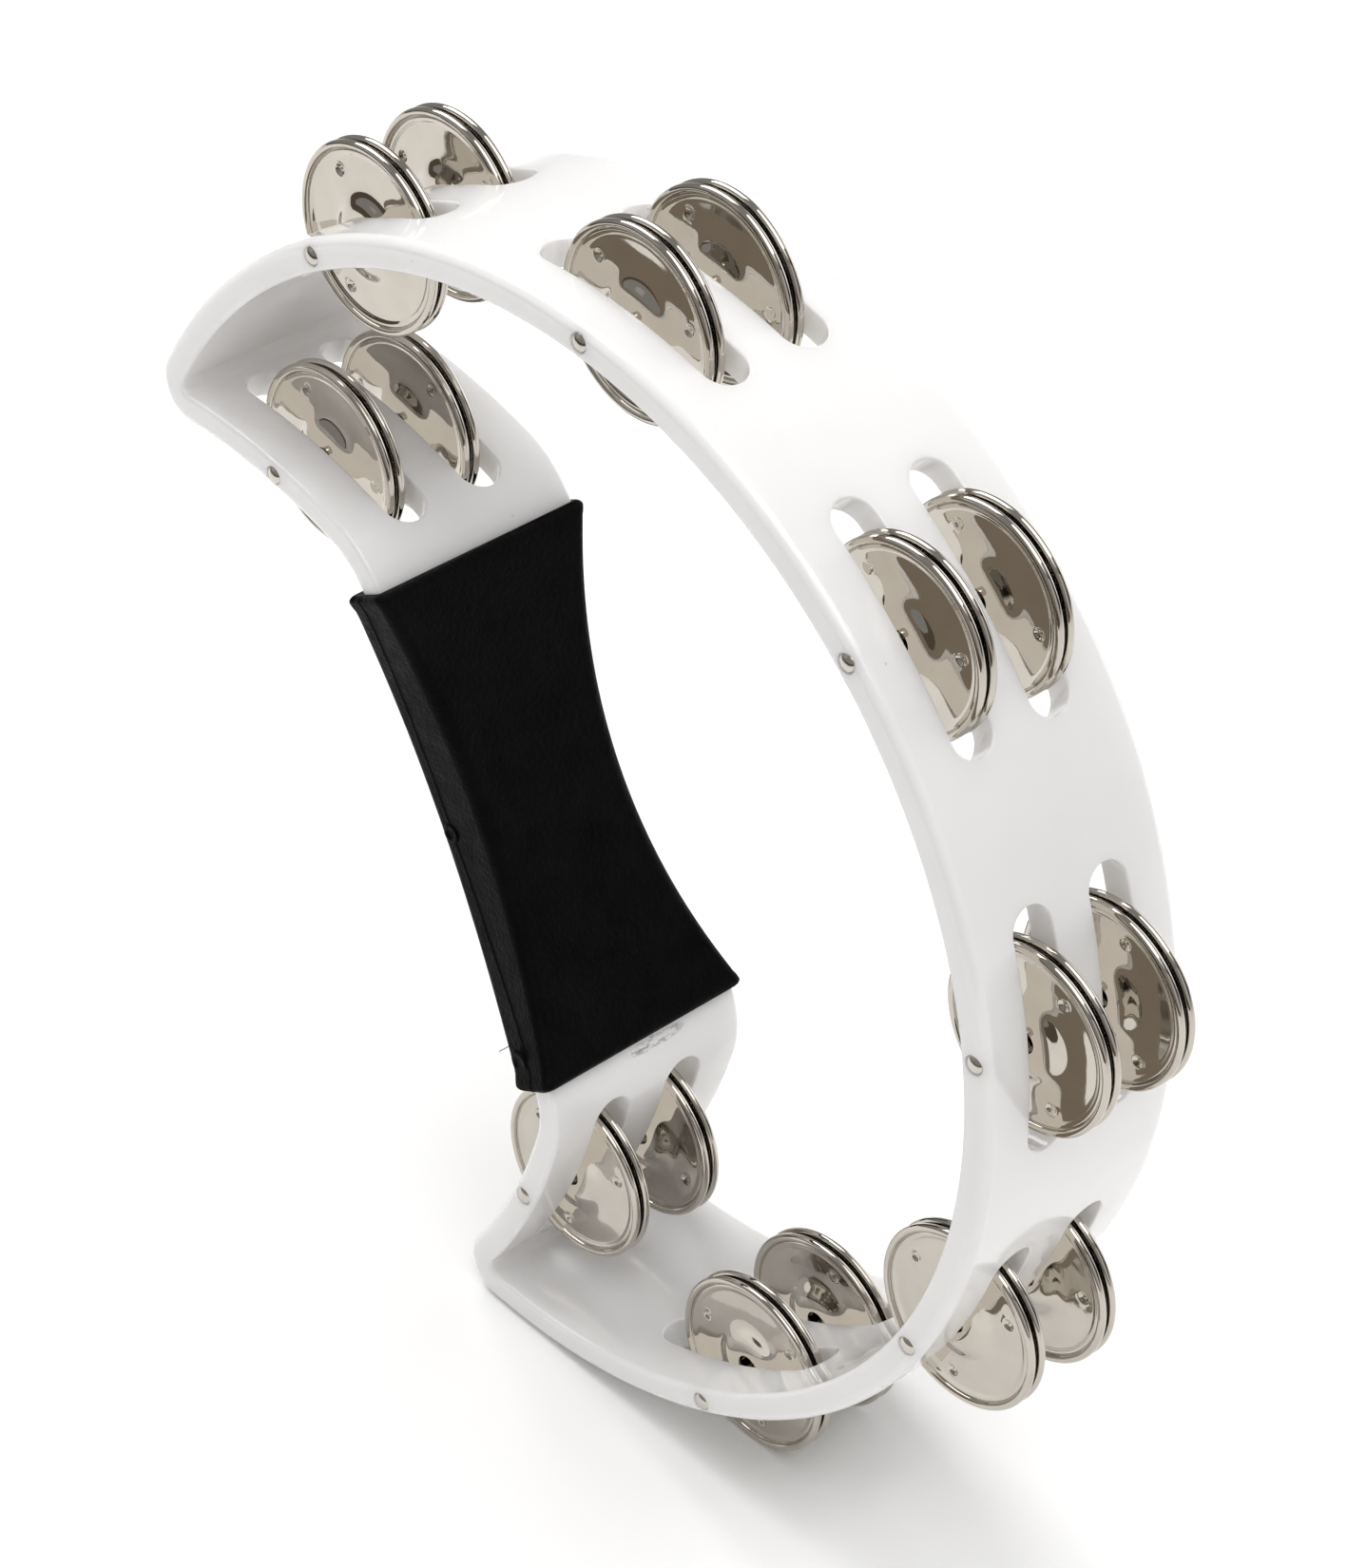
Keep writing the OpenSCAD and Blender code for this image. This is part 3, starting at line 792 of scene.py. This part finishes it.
def plastic_white():
    m, nt, b = new_material("white_moulded_plastic")
    vec = coords(nt)
    col = ramp(nt, noise(nt, vec, 35, 2), [(0.3, (0.79, 0.782, 0.78)), (0.7, (0.82, 0.813, 0.812))])
    col = speckled(nt, vec, col, 90, 0.035, 0.35, 0.5)
    # grey scuffs beside the grip's lower end, inside an oval along the band's width
    along = M3 @ np.array([-0.1, 1.0, 0.0])
    away = node(nt, "ShaderNodeVectorMath", operation="SUBTRACT")
    away.inputs[1].default_value = scuff_centre()
    nt.links.new(vec, away.inputs[0])
    parts = []
    for direction, half in ((along, 0.0017), ((0, 1, 0), 0.0085)):
        share = node(nt, "ShaderNodeVectorMath", operation="DOT_PRODUCT")
        share.inputs[1].default_value = tuple(np.array(direction) / half)
        nt.links.new(away.outputs[0], share.inputs[0])
        square = node(nt, "ShaderNodeMath", operation="MULTIPLY")
        nt.links.new(share.outputs["Value"], square.inputs[0])
        nt.links.new(share.outputs["Value"], square.inputs[1])
        parts.append(square.outputs[0])
    add = node(nt, "ShaderNodeMath", operation="ADD")
    nt.links.new(parts[0], add.inputs[0])
    nt.links.new(parts[1], add.inputs[1])
    near = ramp(nt, add.outputs[0], [(0.35, (1,)), (1.0, (0,))])
    streak = ramp(nt, noise(nt, coords(nt, (900, 260, 900)), 1.0, 4, 0.7), [(0.47, (0,)), (0.6, (1,))])
    scuff = node(nt, "ShaderNodeMath", operation="MULTIPLY")
    nt.links.new(near, scuff.inputs[0])
    nt.links.new(streak, scuff.inputs[1])
    worn = node(nt, "ShaderNodeMixRGB", blend_type="MIX")
    worn.inputs[2].default_value = (0.2, 0.2, 0.2, 1)
    nt.links.new(scuff.outputs[0], worn.inputs["Fac"])
    nt.links.new(col, worn.inputs[1])
    nt.links.new(worn.outputs[0], b.inputs["Base Color"])
    rough = ramp(nt, noise(nt, vec, 60, 4), [(0.3, (0.09,)), (0.75, (0.17,))])
    nt.links.new(rough, b.inputs["Roughness"])
    n1 = bump(nt, noise(nt, vec, 45, 2), 0.25, 0.0004)
    n2 = bump(nt, noise(nt, vec, 900, 3), 0.06, 0.0001, n1)
    nt.links.new(n2, b.inputs["Normal"])
    b.inputs["Subsurface Weight"].default_value = 0.6
    b.inputs["Subsurface Radius"].default_value = (0.008, 0.0077, 0.0074)
    b.inputs["Subsurface Scale"].default_value = 1.0
    b.inputs["Coat Weight"].default_value = 0.35
    b.inputs["Coat Roughness"].default_value = 0.04
    return m


def rubber_black():
    m, nt, b = new_material("black_grip_rubber")
    vec = coords(nt)
    col = ramp(nt, noise(nt, vec, 120, 4),
               [(0.3, (0.0016, 0.0016, 0.0017)), (0.75, (0.0036, 0.0036, 0.0037))])
    nt.links.new(col, b.inputs["Base Color"])
    rough = ramp(nt, noise(nt, vec, 260, 3), [(0.3, (0.42,)), (0.7, (0.56,))])
    nt.links.new(rough, b.inputs["Roughness"])
    vor = node(nt, "ShaderNodeTexVoronoi", feature="SMOOTH_F1")
    vor.inputs["Scale"].default_value = 1150
    nt.links.new(vec, vor.inputs["Vector"])
    n1 = bump(nt, vor.outputs["Distance"], 0.55, 0.00022)
    n2 = bump(nt, noise(nt, vec, 1900, 3, 0.6), 0.3, 0.00012, n1)
    n3 = bump(nt, noise(nt, vec, 90, 2), 0.25, 0.0006, n2)
    nt.links.new(n3, b.inputs["Normal"])
    b.inputs["Specular IOR Level"].default_value = 0.05
    return m


def nickel(name, rough_lo, rough_hi, tint=(0.55, 0.515, 0.46)):
    m, nt, b = new_material(name)
    vec = coords(nt)
    dark = tuple(c * 0.93 for c in tint)
    col = ramp(nt, noise(nt, vec, 160, 4), [(0.3, dark), (0.7, tint)])
    col = speckled(nt, vec, col, 420, 0.07, 0.45, 0.6)
    nt.links.new(col, b.inputs["Base Color"])
    b.inputs["Metallic"].default_value = 1.0
    rough = ramp(nt, noise(nt, vec, 210, 5, 0.6), [(0.35, (rough_lo,)), (0.75, (rough_hi,))])
    nt.links.new(rough, b.inputs["Roughness"])
    n1 = bump(nt, noise(nt, vec, 130, 2), 0.12, 0.0005)
    # the plating is faintly uneven
    n2 = bump(nt, noise(nt, vec, 900, 2), 0.03, 0.00008, n1)
    nt.links.new(n2, b.inputs["Normal"])
    return m


MAT_WHITE = plastic_white()
MAT_BLACK = rubber_black()
MAT_NICKEL = nickel("jingle_nickel", 0.035, 0.09)
MAT_PIN = nickel("pin_nickel", 0.12, 0.22, (0.58, 0.55, 0.5))

# ---------------------------------------------------------------- pieces
body = build_frame()
body.data.materials.append(MAT_WHITE)
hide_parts("frame")
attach(body, "frame")

sleeve = build_grip()
sleeve.data.materials.append(MAT_BLACK)
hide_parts("grip")
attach(sleeve, "frame")

PIN = pin_mesh()
JINGLE = jingle_mesh()


def link(name, mesh):
    obj = bpy.data.objects.new(name, mesh)
    bpy.context.scene.collection.objects.link(obj)
    return obj


def placed(name, mesh, matrix, material):
    """A copy of mesh with its points where they belong in the world, so that its box is exact."""
    own = mesh.copy()
    own.name = name
    own.transform(matrix)
    own.materials.append(material)
    return link(name, own)


for p in range(1, 9):
    q = place_pos(p)
    pin = placed(f"pin_{p}_turned", PIN, TO_WORLD @ Matrix.Translation((q[0] * MM, q[1] * MM, 0)), MAT_PIN)
    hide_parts(f"pin_{p}")
    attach(pin, "frame")

# how far each jingle has turned on its pin, in degrees
SPIN = {"1a": 8, "1c": 40, "2a": 20, "2c": 5, "3a": 14, "3c": 0, "4a": 60, "4c": 75,
        "5a": 30, "5c": 12, "6a": 45, "6c": 80, "7a": 0, "7c": 55, "8a": 25, "8c": 100}
for p in range(1, 9):
    q = jingle_pos(p)
    for letter, row, side in (("a", 1, 1), ("b", 1, -1), ("c", -1, 1), ("d", -1, -1)):
        key = f"{p}{letter}"
        angle = radians(SPIN.get(key, float(rng.uniform(0, 120))))
        place = Matrix.Translation((q[0] * MM, q[1] * MM, row * ROW_PITCH / 2 * MM))
        turned_over = Matrix.Identity(4) if side > 0 else Matrix.Rotation(pi, 4, "X")
        at = TO_WORLD @ place @ turned_over @ Matrix.Rotation(angle, 4, "Z")
        disc = placed(f"jingle_{key}_stamped", JINGLE, at, MAT_NICKEL)
        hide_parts(f"jingle_{key}")
        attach(disc, f"jingle_{key}")


# ---------------------------------------------------------------- stage
def plane(name, size, location, rotation=(0, 0, 0)):
    mesh = bpy.data.meshes.new(name)
    x, y = size[0] / 2, size[1] / 2
    mesh.from_pydata([(-x, -y, 0), (x, -y, 0), (x, y, 0), (-x, y, 0)], [], [(0, 1, 2, 3)])
    obj = link(name, mesh)
    obj.location = location
    obj.rotation_euler = rotation
    return obj


def floor_paper():
    m, nt, b = new_material("floor_paper")
    b.inputs["Base Color"].default_value = (0.93, 0.93, 0.925, 1)
    b.inputs["Roughness"].default_value = 0.9
    b.inputs["Specular IOR Level"].default_value = 0.1
    b.inputs["Emission Color"].default_value = (1, 1, 1, 1)
    b.inputs["Emission Strength"].default_value = 0.04
    return m


def glow(name, colour, one_sided=False):
    """A material that shines by itself; one-sided, its back isn't there."""
    m = bpy.data.materials.new(name)
    m.use_nodes = True
    nt = m.node_tree
    nt.nodes.clear()
    out = node(nt, "ShaderNodeOutputMaterial")
    light = node(nt, "ShaderNodeEmission")
    light.inputs["Color"].default_value = (*colour, 1)
    surface_out = light.outputs[0]
    if one_sided:
        mix = node(nt, "ShaderNodeMixShader")
        nt.links.new(node(nt, "ShaderNodeNewGeometry").outputs["Backfacing"], mix.inputs[0])
        nt.links.new(surface_out, mix.inputs[1])
        nt.links.new(node(nt, "ShaderNodeBsdfTransparent").outputs[0], mix.inputs[2])
        surface_out = mix.outputs[0]
    nt.links.new(surface_out, out.inputs["Surface"])
    return m


def only_reflected(obj, material):
    """Gives obj the material, and leaves it to reflections alone."""
    obj.data.materials.append(material)
    for way in ("camera", "diffuse", "shadow", "transmission"):
        setattr(obj, "visible_" + way, False)


# A glowing plane that only reflections see: a painted reflection.
def card(name, size, location, rotation, colour):
    only_reflected(plane(name, size, location, rotation), glow(name, colour))


def reflected(name, verts, faces, colour):
    """Glowing faces in local mm that only reflections see, from their front only: painted reflections in the
    jingles.
    """
    mesh = bpy.data.meshes.new(name)
    mesh.from_pydata(world(verts).tolist(), [], faces)
    obj = link(name, mesh)
    only_reflected(obj, glow(name, colour, one_sided=True))


def painted_reflection_band():
    """Glowing strips just off the ring's outer face, seen only in reflections: a painted reflection that the
    jingles show darker than the face is seen.
    """
    verts, faces = [], []
    pos, _ = on_line(np.linspace(starts[4] + 2, starts[5] - 2, 240), W + 0.3)
    for low, high in ((15.3, 23.4), (-4.2, 4.2), (-23.4, -15.3)):
        k = len(verts)
        for q in pos:
            verts += [(*q, low), (*q, high)]
        faces += [(k + 2 * i, k + 2 * i + 2, k + 2 * i + 3, k + 2 * i + 1) for i in range(len(pos) - 1)]
    # painted reflection: the dark warm colour the strips glow with
    reflected("painted_reflection_band", verts, faces, (0.27, 0.225, 0.18))


def painted_reflection_walls():
    """A glowing flat in front of each slot's far long wall, seen only in reflections: a painted reflection
    that the jingles show lighter than the wall is seen.
    """
    verts, faces = [], []
    for place in PLACES:
        for zc in SLOT_ROWS:
            k = len(verts)
            for y, x in ((-22, -W), (-22, W - 0.1), (22, W - 0.1), (22, -W)):
                verts.append((*(place.q + place.along * y + place.out * x), zc + SLOT_W / 2 - 0.06))
            faces.append((k + 3, k + 2, k + 1, k))
    # painted reflection: the light colour the flats glow with
    reflected("painted_reflection_walls", verts, faces, (0.86, 0.82, 0.76))


floor = plane("floor", (6, 6), (0, 0, 0))
floor.data.materials.append(floor_paper())
# Painted dark reflections in the jingles: a dark floor in front and a dark wall on the right, glowing planes
# that only reflections see.
card("painted_reflection_front", (6.0, 2.0), (0, -1.47, 0.002), (0, 0, 0), (0.115, 0.092, 0.072))
card("painted_reflection_right", (1.9, 1.5), (1.75, 1.0, 0.95), (pi / 2, 0, radians(-61)), (0.03, 0.026, 0.022))
painted_reflection_band()
painted_reflection_walls()


def area(name, size, location, target, power, colour=(1, 1, 1)):
    light = bpy.data.lights.new(name, "AREA")
    light.shape = "RECTANGLE"
    light.size, light.size_y = size
    light.energy = power
    light.color = colour
    obj = bpy.data.objects.new(name, light)
    bpy.context.scene.collection.objects.link(obj)
    obj.location = location
    obj.rotation_euler = (Vector(target) - Vector(location)).to_track_quat("-Z", "Y").to_euler()


area("key_softbox", (1.1, 1.1), (-0.95, 0.15, 1.35), (0, 0, 0.1), 17, (1.0, 0.995, 0.985))
area("top_softbox", (1.1, 1.1), (0.45, 0.0, 1.5), (0, 0, 0.1), 8.5)
area("fill_right", (1.2, 1.0), (1.35, -0.1, 0.5), (0, 0, 0.12), 1.2)
area("fill_back", (1.4, 0.9), (0.2, 1.4, 0.55), (0, 0, 0.12), 6)
area("fill_left", (0.9, 0.9), (-0.9, -1.0, 0.8), (0, 0, 0.12), 0.4)
area("front_high", (0.9, 0.9), (0.6, -0.5, 1.35), (0, 0, 0.1), 4)

world_ = bpy.data.worlds.new("studio")
bpy.context.scene.world = world_
world_.use_nodes = True
bg = world_.node_tree.nodes["Background"]
bg.inputs["Color"].default_value = (0.80, 0.79, 0.78, 1)
bg.inputs["Strength"].default_value = 0.39

# ---------------------------------------------------------------- camera
# the way from the object to the camera, in degrees, and the camera's own turn
CAM_PLACE = (0.50346, -0.50148, 0.69651)
CAM_AZIMUTH, CAM_ELEVATION, CAM_ROLL = -44.9624, 38.2209, 3.4806
CAM_LENS, CAM_SENSOR = 106.8, 36     # mm; the sensor's size is along the picture's height
cam_data = bpy.data.cameras.new("camera")
cam = bpy.data.objects.new("camera", cam_data)
bpy.context.scene.collection.objects.link(cam)
aim = (Matrix.Rotation(radians(CAM_AZIMUTH + 90), 4, "Z")
       @ Matrix.Rotation(radians(90 - CAM_ELEVATION), 4, "X") @ Matrix.Rotation(radians(CAM_ROLL), 4, "Z"))
cam.matrix_world = Matrix.Translation(CAM_PLACE) @ aim
cam_data.sensor_width = CAM_SENSOR
cam_data.lens = CAM_LENS
cam_data.clip_start, cam_data.clip_end = 0.01, 50
bpy.context.scene.camera = cam
bpy.context.scene.view_settings.view_transform = "Standard"
